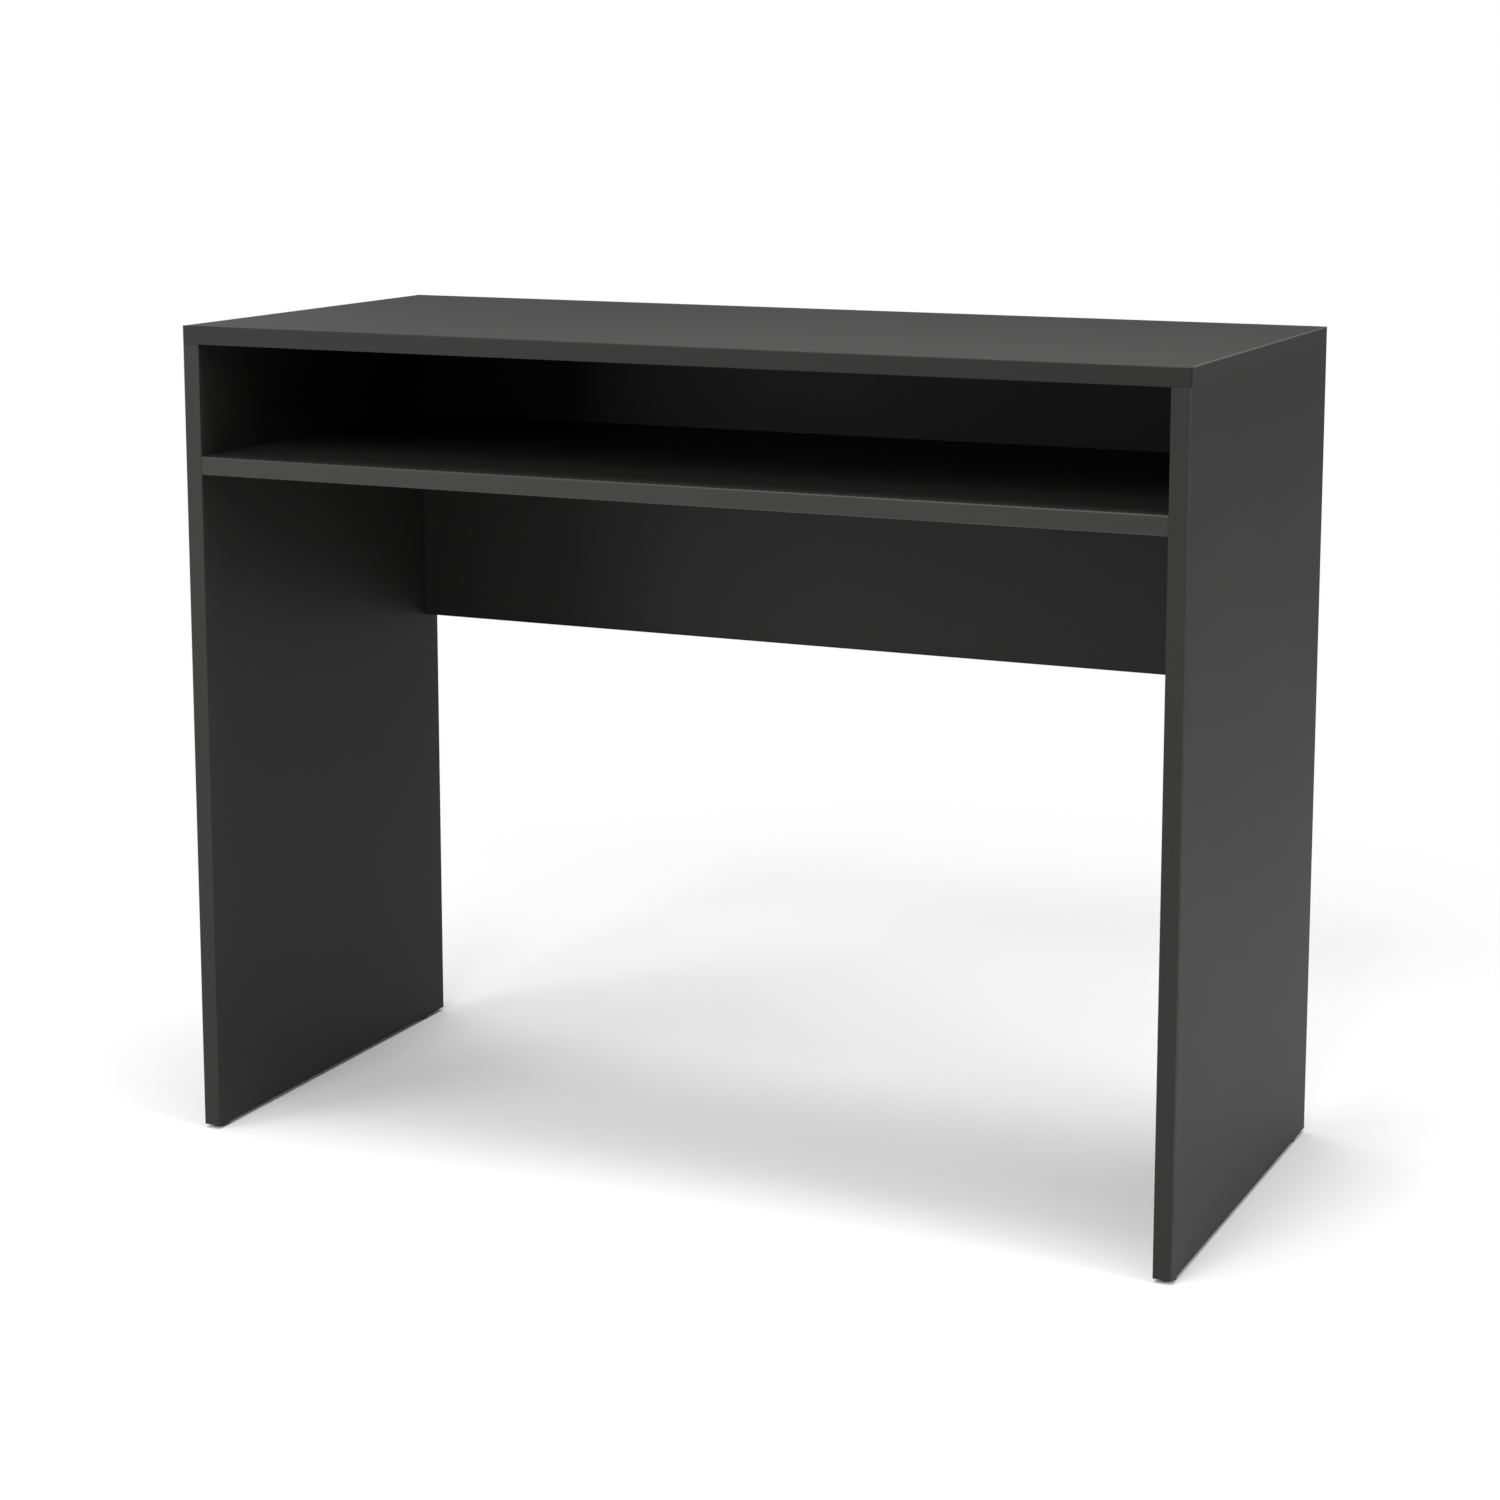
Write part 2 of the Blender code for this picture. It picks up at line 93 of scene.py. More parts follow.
GLIDE_SOLE = 0.0055         # radius of the flat that stands on the floor
GLIDE_STEM = 0.0026         # radius of the stem between its ribs
GLIDE_RIB = 0.0030          # radius of the ribs
GLIDE_RIB_PITCH = 0.0035

AXES = (Vector((1, 0, 0)), Vector((0, 1, 0)), Vector((0, 0, 1)))
BOARDS = ("desk_top", "left_side_panel", "right_side_panel", "keyboard_shelf", "back_panel")
NODES = sorted(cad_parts)
BANDS = [node for node in NODES if node.endswith("_band")]
CAM_KEYS = [node[len("cam_bolt_"):] for node in NODES if node.startswith("cam_bolt_")]
CAP_KEYS = [node[len("cap_"):] for node in NODES if node.startswith("cap_")]
DOWEL_KEYS = [node[len("dowel_"):] for node in NODES if node.startswith("dowel_")]
GLIDES = [node for node in NODES if node.startswith("glide_")]
BOXES = {node: tuple(np.array(corner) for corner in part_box(node)) for node in NODES}


# Surfaces on a grid.

def skin(name, points, uv=None, caps=True):
    """Mesh over a grid of points, rows by columns, whose last column joins the first.

    caps closes the first and the last row with one face each, and uv gives each grid point its
    place on the unrolled surface, in metres.
    """
    rows, columns = points.shape[:2]
    index = np.arange(rows * columns).reshape(rows, columns)
    right = np.roll(index, -1, axis=1)
    quads = np.stack([index[:-1], right[:-1], right[1:], index[1:]], axis=-1)
    faces = quads.reshape(-1, 4).tolist()
    if caps:
        faces.append(index[0, ::-1].tolist())
        faces.append(index[-1].tolist())
    mesh = bpy.data.meshes.new(name)
    mesh.from_pydata(points.reshape(-1, 3).tolist(), [], faces)
    if uv is not None:
        layer = mesh.uv_layers.new(name="unrolled")
        corners = np.empty(len(mesh.loops), dtype=np.int32)
        mesh.loops.foreach_get("vertex_index", corners)
        layer.uv.foreach_set("vector", uv.reshape(-1, 2)[corners].ravel().astype(np.float32))
    return closed(mesh)


def closed(mesh):
    """The mesh with its seams and poles merged and its faces turned outwards."""
    edit = bmesh.new()
    edit.from_mesh(mesh)
    bmesh.ops.remove_doubles(edit, verts=edit.verts, dist=MERGED)
    if edit.calc_volume(signed=True) < 0:
        bmesh.ops.reverse_faces(edit, faces=edit.faces)
    edit.to_mesh(mesh)
    edit.free()
    return mesh


def rounded_box(name, low, high, radius, steps=3):
    """Box whose corners and edges are parts of one ball.

    At longitude a and latitude b the point is the inner corner of that octant plus radius times
    the direction (cos a cos b, sin a cos b, sin b). Each octant has its own samples, so the flat
    faces open up between the octants.
    """
    low, high = np.array(low), np.array(high)
    quarter = np.linspace(0, math.pi / 2, steps + 1)
    longitude = np.concatenate([turn * math.pi / 2 + quarter for turn in range(4)])
    sign_x = np.repeat([1, -1, -1, 1], steps + 1)
    sign_y = np.repeat([1, 1, -1, -1], steps + 1)
    latitude = np.concatenate([-quarter[::-1], quarter])
    sign_z = np.repeat([-1, 1], steps + 1)
    b, a = np.meshgrid(latitude, longitude, indexing="ij")
    direction = np.stack([np.cos(a) * np.cos(b), np.sin(a) * np.cos(b), np.sin(b)], axis=-1)
    signs = np.broadcast_arrays(sign_x[None, :], sign_y[None, :], sign_z[:, None])
    inner = (high - low) / 2 - radius
    points = (low + high) / 2 + np.stack(signs, axis=-1) * inner + radius * direction
    return skin(name, points)


def lathe(name, rows, sides, ripple=None):
    """Surface turned about Z from rows of (height, radius) that start and end on the axis.

    The radius at turn angle t is the row's radius plus ripple(height, t), where there is one.
    The unrolled coordinates are the arc length round the middle radius and the height.
    """
    rows = np.array(rows, dtype=float)
    turn = np.linspace(0, 2 * math.pi, sides, endpoint=False)
    height, angle = np.meshgrid(rows[:, 0], turn, indexing="ij")
    radius = np.repeat(rows[:, 1:2], sides, axis=1)
    if ripple is not None:
        radius = np.maximum(radius + ripple(height, angle) * (radius > 0), 0)
    points = np.stack([radius * np.cos(angle), radius * np.sin(angle), height], axis=-1)
    uv = np.stack([angle * rows[:, 1].max(), height], axis=-1)
    return skin(name, points, uv=uv, caps=False)


def prism(name, outline, low, high, low_scale=1.0):
    """A flat outline carried along Z from low to high; low_scale narrows its lower end."""
    outline = np.array(outline, dtype=float)
    levels = np.array([[low, low_scale], [high, 1.0]])
    points = np.empty((2, len(outline), 3))
    points[..., :2] = outline[None] * levels[:, 1, None, None]
    points[..., 2] = levels[:, 0, None]
    return skin(name, points)


def arc(centre, radius, start, stop, steps=ARC_STEPS):
    """Points on part of a circle, from one angle to another."""
    angle = np.linspace(start, stop, steps + 1)
    x, y = centre[0] + radius * np.cos(angle), centre[1] + radius * np.sin(angle)
    return np.stack([x, y], axis=-1)


def carved(mesh, *cutters):
    """The mesh with closed cutter meshes taken out of it, one after another."""
    body = bpy.data.objects.new(mesh.name, mesh)
    bpy.context.scene.collection.objects.link(body)
    tools = []
    for number, cutter in enumerate(cutters):
        tool = bpy.data.objects.new(f"{mesh.name}_tool_{number}", cutter)
        bpy.context.scene.collection.objects.link(tool)
        tools.append(tool)
        cut = body.modifiers.new(tool.name, "BOOLEAN")
        cut.operation = "DIFFERENCE"
        cut.solver = "EXACT"
        cut.object = tool
    bpy.context.view_layer.update()
    depsgraph = bpy.context.evaluated_depsgraph_get()
    result = bpy.data.meshes.new_from_object(body.evaluated_get(depsgraph))
    for tool in [body, *tools]:
        bpy.data.objects.remove(tool)
    return result


def joined(name, meshes):
    """Several meshes that don't touch, as one."""
    edit = bmesh.new()
    for mesh in meshes:
        edit.from_mesh(mesh)
    together = bpy.data.meshes.new(name)
    edit.to_mesh(together)
    edit.free()
    return together


def placed(mesh, name, place):
    """A copy of a mesh carried to its place in the frame."""
    copy = mesh.copy()
    copy.name = name
    copy.transform(place)
    return copy


def standing(z_axis, x_axis, at):
    """The placement that takes +Z and +X to two directions at right angles."""
    y_axis = z_axis.cross(x_axis)
    turn = Matrix((x_axis, y_axis, z_axis)).transposed().to_4x4()
    return Matrix.Translation(at) @ turn


def smooth(mesh, angle=35):
    """Shade round parts smooth and keep corners above an angle in degrees sharp."""
    mesh.shade_smooth()
    mesh.set_sharp_from_angle(angle=math.radians(angle))
    return mesh


def add_piece(name, mesh, finish, slot, *nodes):
    """Show a mesh as a piece of the desk that stands for CAD nodes."""
    mesh.materials.clear()
    mesh.materials.append(finish)
    piece = bpy.data.objects.new(name, mesh)
    bpy.context.scene.collection.objects.link(piece)
    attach(piece, "root")
    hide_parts(*nodes)
    return piece


# Finishes.

class Finish:
    """A Principled material and short ways to add nodes to it."""

    def __init__(self, name):
        self.material = bpy.data.materials.new(name)
        self.material.use_nodes = True
        self.tree = self.material.node_tree
        self.shader = self.tree.nodes["Principled BSDF"]

    def add(self, kind, **settings):
        """A node with its properties set."""
        node = self.tree.nodes.new(kind)
        for name, value in settings.items():
            setattr(node, name, value)
        return node

    def link(self, output, socket):
        """Join an output to an input."""
        self.tree.links.new(output, socket)

    def place(self, stretch=(1, 1, 1)):
        """Object coordinates in metres, stretched for a pattern."""
        source = self.add("ShaderNodeTexCoord")
        mapping = self.add("ShaderNodeMapping")
        mapping.inputs["Scale"].default_value = stretch
        self.link(source.outputs["Object"], mapping.inputs["Vector"])
        return mapping.outputs["Vector"]

    def unrolled(self, stretch):
        """The piece's own unrolled coordinates in metres, stretched for a pattern."""
        source = self.add("ShaderNodeUVMap", uv_map="unrolled")
        mapping = self.add("ShaderNodeMapping")
        mapping.inputs["Scale"].default_value = stretch
        self.link(source.outputs["UV"], mapping.inputs["Vector"])
        return mapping.outputs["Vector"]

    def noise(self, where, scale, detail=2.0, roughness=0.5):
        """Fractal noise, scale in features a metre."""
        node = self.add("ShaderNodeTexNoise")
        node.inputs["Scale"].default_value = scale
        node.inputs["Detail"].default_value = detail
        node.inputs["Roughness"].default_value = roughness
        self.link(where, node.inputs["Vector"])
        return node.outputs["Fac"]

    def cells(self, where, scale, feature="F1", output="Distance"):
        """Voronoi cells, scale in cells a metre."""
        node = self.add("ShaderNodeTexVoronoi", feature=feature)
        node.inputs["Scale"].default_value = scale
        self.link(where, node.inputs["Vector"])
        return node.outputs[output]

    def attribute(self, name):
        """A number stored on the mesh."""
        node = self.add("ShaderNodeAttribute", attribute_name=name)
        return node.outputs["Fac"]

    def spread(self, value, low, high, new_low=0.0, new_high=1.0):
        """A value carried from one range to another and held inside it."""
        node = self.add("ShaderNodeMapRange", clamp=True)
        node.inputs["From Min"].default_value = low
        node.inputs["From Max"].default_value = high
        node.inputs["To Min"].default_value = new_low
        node.inputs["To Max"].default_value = new_high
        self.link(value, node.inputs["Value"])
        return node.outputs["Result"]

    def sum(self, first, second, operation="ADD"):
        """Two values put together; the second may be a plain number."""
        node = self.add("ShaderNodeMath", operation=operation)
        self.link(first, node.inputs[0])
        if isinstance(second, (int, float)):
            node.inputs[1].default_value = second
        else:
            self.link(second, node.inputs[1])
        return node.outputs["Value"]

    def blend(self, amount, first, second):
        """One colour turning into another; the amount and each colour may be fixed or an output."""
        node = self.add("ShaderNodeMix", data_type="RGBA")
        if isinstance(amount, float):
            node.inputs["Factor"].default_value = amount
        else:
            self.link(amount, node.inputs["Factor"])
        for colour, socket in ((first, node.inputs[6]), (second, node.inputs[7])):
            if isinstance(colour, tuple):
                socket.default_value = (*colour, 1.0)
            else:
                self.link(colour, socket)
        return node.outputs[2]

    def bump(self, height, depth, strength):
        """Relief of a given depth in metres, of which strength is the share that shows."""
        node = self.add("ShaderNodeBump")
        node.inputs["Strength"].default_value = strength
        node.inputs["Distance"].default_value = depth
        self.link(height, node.inputs["Height"])
        self.link(node.outputs["Normal"], self.shader.inputs["Normal"])

    def set(self, **values):
        """Fixed shader values, named with underscores for blanks."""
        for name, value in values.items():
            self.shader.inputs[name.replace("_", " ")].default_value = value
        return self


def shade(colour, factor):
    """A colour made lighter or darker."""
    return tuple(channel * factor for channel in colour)


CHARCOAL = (0.0190, 0.0187, 0.0181)
BAND_TONE_RANGE = (0.6, 1.4)     # darkest and lightest tone that a band can be given
# Tones of single bands: the bottom bands are darkened as painted shade under the desk; the top's
# front band is darker and the shelf's front band lighter than the rest.
BAND_TONES = {"desk_top_front_band": 0.70, "keyboard_shelf_front_band": 1.38,
              "left_side_panel_bottom_band": 0.7, "right_side_panel_bottom_band": 0.7,
              "back_panel_bottom_band": 0.7}
ARRIS_HIGHLIGHT_TONE = 5.0           # painted highlight along a band's free round corner
# How much painted highlight each band's free round corners carry; bands not listed get none.
ARRIS_HIGHLIGHT_BANDS = {"desk_top_left_band": 1.0, "desk_top_right_band": 1.0,
                "desk_top_front_band": 0.08, "keyboard_shelf_front_band": 0.3,
                "left_side_panel_front_band": 0.25, "right_side_panel_front_band": 0.4}


def charcoal_melamine():
    """Matt charcoal melamine on the faces, bare chipboard on sawn edges and in drillings."""
    finish = Finish("charcoal_melamine")
    where = finish.place()
    clouds = finish.spread(finish.noise(where, 4.0, 3.0, 0.5), 0.30, 0.70)
    grains = finish.spread(finish.noise(where, 2400.0, 2.0, 0.6), 0.32, 0.68)
    even = finish.blend(clouds, shade(CHARCOAL, 0.99), shade(CHARCOAL, 1.01))
    speckled = finish.blend(grains, shade(CHARCOAL, 0.88), shade(CHARCOAL, 1.12))
    melamine = finish.blend(0.5, even, speckled)

    flake_shape = finish.place((1.0, 1.0, 2.6))
    flakes = finish.cells(flake_shape, 420.0, output="Color")
    split = finish.add("ShaderNodeSeparateColor")
    finish.link(flakes, split.inputs["Color"])
    flake_tone = finish.spread(split.outputs["Red"], 0.0, 1.0)
    wood = finish.blend(flake_tone, (0.30, 0.19, 0.10), (0.58, 0.42, 0.25))
    gaps = finish.spread(finish.cells(flake_shape, 420.0, "DISTANCE_TO_EDGE"), 0.0, 0.12)
    chipboard = finish.blend(gaps, (0.10, 0.06, 0.03), wood)

    raw = finish.attribute("sawn")
    colour = finish.blend(raw, melamine, chipboard)
    finish.link(colour, finish.shader.inputs["Base Color"])
    sheen_variation = finish.spread(finish.noise(where, 9.0, 2.0), 0.3, 0.7, 0.498, 0.510)
    rough = finish.sum(sheen_variation, finish.sum(raw, 0.35, "MULTIPLY"))
    finish.link(rough, finish.shader.inputs["Roughness"])
    pearl = finish.noise(where, 2000.0, 2.0, 0.5)
    finish.bump(pearl, 0.00002, 0.25)
    finish.set(Specular_IOR_Level=0.13)
    return finish.material


def edge_band():
    """Charcoal band, drawn lengthwise when it was made, with a painted highlight along its free
    round corners.
    """
    finish = Finish("charcoal_edge_band")
    where = finish.place()
    along = finish.unrolled((60.0, 2600.0, 1.0))
    drawn = finish.spread(finish.noise(along, 1.0, 3.0, 0.6), 0.3, 0.7)
    dark, light = (finish.blend(drawn, shade(CHARCOAL, tone * 0.96), shade(CHARCOAL, tone * 1.03))
                   for tone in BAND_TONE_RANGE)
    # The roll attribute makes a whole band darker or lighter; on the bottom bands this is painted
    # shade.
    toned = finish.blend(finish.attribute("roll"), dark, light)
    patchy = finish.spread(finish.noise(where, 90.0, 3.0, 0.6), 0.35, 0.65, 0.8, 1.0)
    # The corner attribute carries a painted highlight: lighter colour and less roughness along free
    # round corners.
    painted_highlight = finish.sum(finish.attribute("corner"), patchy, "MULTIPLY")
    colour = finish.blend(painted_highlight, toned, shade(CHARCOAL, ARRIS_HIGHLIGHT_TONE))
    finish.link(colour, finish.shader.inputs["Base Color"])
    rough = finish.spread(drawn, 0.0, 1.0, 0.46, 0.54)
    rough = finish.sum(rough, finish.sum(painted_highlight, -0.10, "MULTIPLY"))
    finish.link(rough, finish.shader.inputs["Roughness"])
    finish.bump(drawn, 0.00002, 0.4)
    finish.set(Specular_IOR_Level=0.15)
    return finish.material


def cast_zinc():
    """Die-cast zinc: a grey cast skin with a fine grain, duller where it has oxidised."""
    finish = Finish("cast_zinc")
    where = finish.place()
    grain = finish.noise(where, 2600.0, 4.0, 0.6)
    blotches = finish.spread(finish.noise(where, 420.0, 3.0), 0.35, 0.65)
    colour = finish.blend(blotches, (0.36, 0.36, 0.37), (0.48, 0.48, 0.485))
    pits = finish.spread(grain, 0.62, 0.75)
    finish.link(finish.blend(pits, colour, (0.22, 0.22, 0.225)), finish.shader.inputs["Base Color"])
    finish.link(finish.spread(blotches, 0.0, 1.0, 0.52, 0.40), finish.shader.inputs["Roughness"])
    finish.bump(grain, 0.00006, 0.5)
    finish.set(Metallic=0.9)
    return finish.material


def charcoal_plastic():
    """Moulded charcoal plastic, finely eroded, matched to the boards."""
    finish = Finish("charcoal_plastic")
    where = finish.place()
    spark = finish.noise(where, 3000.0, 2.0, 0.6)
    clouds = finish.spread(finish.noise(where, 260.0, 3.0), 0.35, 0.65)
    finish.link(finish.blend(clouds, shade(CHARCOAL, 0.94), shade(CHARCOAL, 1.06)),
                finish.shader.inputs["Base Color"])
    finish.link(finish.spread(spark, 0.3, 0.7, 0.48, 0.60), finish.shader.inputs["Roughness"])
    finish.bump(spark, 0.00004, 0.35)
    finish.set(Specular_IOR_Level=0.13)
    return finish.material


def zinc_plated_steel():
    """Bright zinc plate with a faint spangle and turning marks."""
    finish = Finish("zinc_plated_steel")
    where = finish.place()
    spangle = finish.cells(where, 900.0, output="Color")
    split = finish.add("ShaderNodeSeparateColor")
    finish.link(spangle, split.inputs["Color"])
    colour = finish.blend(split.outputs["Green"], (0.47, 0.49, 0.52), (0.62, 0.63, 0.64))
    finish.link(colour, finish.shader.inputs["Base Color"])
    marks = finish.noise(finish.unrolled((40.0, 9000.0, 1.0)), 1.0, 2.0)
    finish.link(finish.spread(marks, 0.3, 0.7, 0.24, 0.40), finish.shader.inputs["Roughness"])
    finish.bump(marks, 0.00001, 0.4)
    finish.set(Metallic=1.0)
    return finish.material


def beech():
    """Plain beech turned into dowels: straight grain with short dark flecks."""
    finish = Finish("beech")
    grain = finish.noise(finish.unrolled((1400.0, 55.0, 1.0)), 1.0, 4.0, 0.6)
    flecks = finish.spread(finish.noise(finish.unrolled((2600.0, 260.0, 1.0)), 1.0, 1.0), 0.62, 0.72)
    base = finish.blend(finish.spread(grain, 0.3, 0.7), (0.40, 0.25, 0.13), (0.60, 0.43, 0.26))
    finish.link(finish.blend(flecks, base, (0.25, 0.13, 0.06)), finish.shader.inputs["Base Color"])
    finish.link(finish.spread(grain, 0.3, 0.7, 0.58, 0.72), finish.shader.inputs["Roughness"])
    finish.bump(grain, 0.00008, 0.5)
    return finish.material


def black_plastic():
    """Moulded black plastic, finely eroded, greyer where floors have worn it."""
    finish = Finish("black_plastic")
    where = finish.place()
    spark = finish.noise(where, 3200.0, 2.0, 0.6)
    scuffs = finish.spread(finish.noise(finish.place((1.0, 1.0, 0.2)), 520.0, 4.0, 0.7), 0.52, 0.75)
    colour = finish.blend(scuffs, (0.013, 0.013, 0.014), (0.045, 0.045, 0.046))
    finish.link(colour, finish.shader.inputs["Base Color"])
    finish.link(finish.spread(spark, 0.3, 0.7, 0.42, 0.58), finish.shader.inputs["Roughness"])
    finish.bump(spark, 0.00005, 0.4)
    return finish.material


MELAMINE = charcoal_melamine()
BANDING = edge_band()
CAST_ZINC = cast_zinc()
CAP_PLASTIC = charcoal_plastic()
ZINC = zinc_plated_steel()
BEECH = beech()
BLACK_PLASTIC = black_plastic()


# Where things are in the frame.

def box(node):
    """A node's lowest and highest corner as arrays."""
    low, high = BOXES[node]
    return low.copy(), high.copy()


def bands_of(board):
    """The edge bands glued to a board."""
    return [node for node in BANDS if node.startswith(board)]


def holds_cam(board, key):
    """Whether the cam lies inside this board."""
    low, high = box(f"cam_{key}")
    board_low, board_high = box(board)
    return bool(np.all(board_low - 0.001 < low) and np.all(high < board_high + 0.001))


def gap_beyond(node, axis, sign):
    """The gap from a board or band to the next one that way, or None where nothing touches it."""
    low, high = box(node)
    for other in (*BOARDS, *BANDS):
        other_low, other_high = box(other)
        gap = other_low[axis] - high[axis] if sign > 0 else low[axis] - other_high[axis]
        shared = np.minimum(high, other_high) - np.maximum(low, other_low)
        shared[axis] = 1.0
        if 0 < gap < TOUCHING and shared.min() > TOUCHING:
            return float(gap)
    return None


def pressed_box(node, axes):
    """A piece's box, run out along some axes until it is pressed against what it meets."""
    low, high = box(node)
    for axis in axes:
        above, below = gap_beyond(node, axis, 1), gap_beyond(node, axis, -1)
        high[axis] += above - SEAM if above else 0.0
        low[axis] -= below - SEAM if below else 0.0
    return low, high


def board_box(board):
    """A board whose edges reach its bands and the boards that it meets."""
    low, high = box(board)
    return pressed_box(board, np.argsort(high - low)[1:])


def fitting_axis(node, longest=True):
    """Index of a fitting's longest or shortest side."""
    low, high = box(node)
    return int(np.argmax(high - low) if longest else np.argmin(high - low))


def boards_joined(key):
    """The two boards that a fitting's name says it joins."""
    first, second = key.split("_")[:2]
    if (first, second) == ("back", "top"):
        return "desk_top", "back_panel"
    other = {"top": "desk_top", "shelf": "keyboard_shelf", "back": "back_panel"}[first]
    return other, f"{second}_side_panel"


def cam_place(key):
    """Where a cam stands: centre of its face, the way it looks, and the way the bolt comes from."""
    low, high = box(f"cam_{key}")
    centre = (low + high) / 2
    through = fitting_axis(f"cam_{key}", longest=False)
    holder, = (board for board in boards_joined(key) if holds_cam(board, key))
    board_low, board_high = box(holder)
    looks_up = board_high[through] - high[through] < low[through] - board_low[through]
    face = AXES[through] * (1 if looks_up else -1)
    centre[through] = high[through] if looks_up else low[through]
    bolt_low, bolt_high = box(f"cam_bolt_{key}")
    along = fitting_axis(f"cam_bolt_{key}")
    toward_bolt = AXES[along] * float(np.sign((bolt_low + bolt_high)[along] / 2 - centre[along]))
    return Vector(centre), face, toward_bolt


def bolt_place(key):
    """Where a bolt stands: the point on the board's face, and the way it runs into the other."""
    _, _, toward_bolt = cam_place(key)
    inward = -toward_bolt
    low, high = box(f"cam_bolt_{key}")
    along = fitting_axis(f"cam_bolt_{key}")
    point = Vector((low + high) / 2)
    tip = low[along] if inward[along] > 0 else high[along]
    point[along] = tip + inward[along] * BOLT_THREAD
    return point, inward


def any_side(axis):
    """A direction at right angles to the given one."""
    return AXES[1] if abs(axis.y) < 0.5 else AXES[0]


# Fittings as fine surfaces.

def cross_outline(length, width):
    """The driving cross, round the four arms."""
    a, b = length / 2, width / 2
    return [(a, -b), (a, b), (b, b), (b, a), (-b, a), (-b, b),
            (-a, b), (-a, -b), (-b, -b), (-b, -a), (b, -a), (b, -b)]


def cam_mesh(height, radius):
    """Cam with its face at height 0 towards +Z and its bolt coming from +X."""
    drum = lathe("cam", [
        (0, 0), (0, radius - CAM_CHAMFER), (-CAM_CHAMFER * 0.3, radius - CAM_CHAMFER * 0.3),
        (-CAM_CHAMFER, radius), (-height + CAM_CHAMFER, radius),
        (-height, radius - CAM_CHAMFER), (-height, 0),
    ], 72)
    cross = prism("cross", cross_outline(CROSS_LENGTH, CROSS_WIDTH), -CROSS_DEPTH, OUTSIDE,
                  CROSS_FLOOR_SCALE)
    back = MARK_REACH - MARK_SIZE
    mark = prism("mark", [(MARK_REACH, 0), (back, MARK_SIZE * 0.6), (back, -MARK_SIZE * 0.6)],
                 -MARK_DEPTH, OUTSIDE)
    return drum, cross, mark


def bolt_channel(axis_height, radius):
    """The cam's channel for the bolt's neck and head, round at its closed end."""
    round_end = arc((0, 0), CAM_CHANNEL_HALF, math.pi / 2, 3 * math.pi / 2, 16)
    round_end[:, 0] += CAM_CHANNEL_HALF - CAM_CHANNEL_PAST
    mouth = radius + 0.002
    outline = [*round_end.tolist(), (mouth, -CAM_CHANNEL_HALF), (mouth, CAM_CHANNEL_HALF)]
    return prism("channel", outline, axis_height - CAM_CHANNEL_HALF, axis_height + CAM_CHANNEL_HALF)


def bolt_mesh(reach):
    """Cam bolt: a screw thread below height 0, then collar, shank, neck and head up to reach.

    In the thread the radius is the crest less a tooth that falls away on both sides of a line
    that climbs one pitch a turn. The tooth fades out at the tip and under the collar.
    """
    thread = np.arange(-BOLT_THREAD + 0.0012, -0.0004, BOLT_PITCH / 14)
    head = reach - BOLT_HEAD_LENGTH
    rows = [(-BOLT_THREAD, 0), (-BOLT_THREAD, BOLT_ROOT * 0.55),
            (-BOLT_THREAD + 0.0006, BOLT_ROOT * 0.9)]
    rows += [(height, BOLT_ROOT) for height in thread]
    rows += [(0.0003, BOLT_ROOT), (0.0003, BOLT_COLLAR - 0.0002), (0.0005, BOLT_COLLAR),
             (0.0048, BOLT_COLLAR), (0.0050, BOLT_COLLAR - 0.0002), (0.0050, BOLT_SHANK),
             (0.0262, BOLT_SHANK), (0.0272, BOLT_NECK), (head, BOLT_NECK),
             (head, BOLT_HEAD - 0.0002), (head + 0.0003, BOLT_HEAD), (reach - 0.0014, BOLT_HEAD),
             (reach - 0.0004, BOLT_HEAD - 0.0006), (reach, BOLT_NECK), (reach, 0)]

    def tooth(height, angle):
        """Extra radius of the thread."""
        phase = height / BOLT_PITCH - angle / (2 * math.pi)
        ridge = np.clip(1.35 - 3.2 * np.abs(phase - np.round(phase)), 0, 1)
        tip_fade = np.clip((height + BOLT_THREAD - 0.0006) / 0.002, 0, 1)
        collar_fade = np.clip(-height / 0.0012, 0, 1)
        return (BOLT_CREST - BOLT_ROOT) * ridge * tip_fade * collar_fade

    return lathe("bolt", rows, 40, tooth)


def dowel_mesh(length, radius):
    """Dowel with chamfered ends and shallow flutes that wind a little along it."""
    half = length / 2
    heights = np.linspace(-half + DOWEL_CHAMFER, half - DOWEL_CHAMFER, 12)
    rows = [(-half, 0), (-half, radius - DOWEL_CHAMFER)]
    rows += [(height, radius) for height in heights]
    rows += [(half, radius - DOWEL_CHAMFER), (half, 0)]

    def flute(height, angle):
        """Depth of the flutes, none on the chamfers."""
        wave = 0.5 - 0.5 * np.cos(DOWEL_FLUTES * (angle + DOWEL_WINDING * height))
        inside = np.abs(height) < half - DOWEL_CHAMFER / 2
        return -DOWEL_FLUTE_DEPTH * wave ** 2 * inside

    return lathe("dowel", rows, 176, flute)


def cap_mesh(radius, rise):
    """Cover cap with its seat at height 0: a disc with a rounded rim and a faintly crowned face.

    The crown falls from the middle with the square of the distance to it.
    """
    share = np.linspace(0, 1, 9)
    flat = radius - CAP_ROUND
    crown = np.stack([rise - CAP_CROWN * share ** 2, flat * share], axis=-1)
    angle = np.linspace(math.pi / 2, 0, 7)[1:]
    rim_high = rise - CAP_CROWN - CAP_ROUND
    rim = np.stack([rim_high + CAP_ROUND * np.sin(angle), flat + CAP_ROUND * np.cos(angle)], axis=-1)
    return lathe("cap", [*crown.tolist(), *rim.tolist(), (0.0, radius), (0.0, 0.0)], 72)


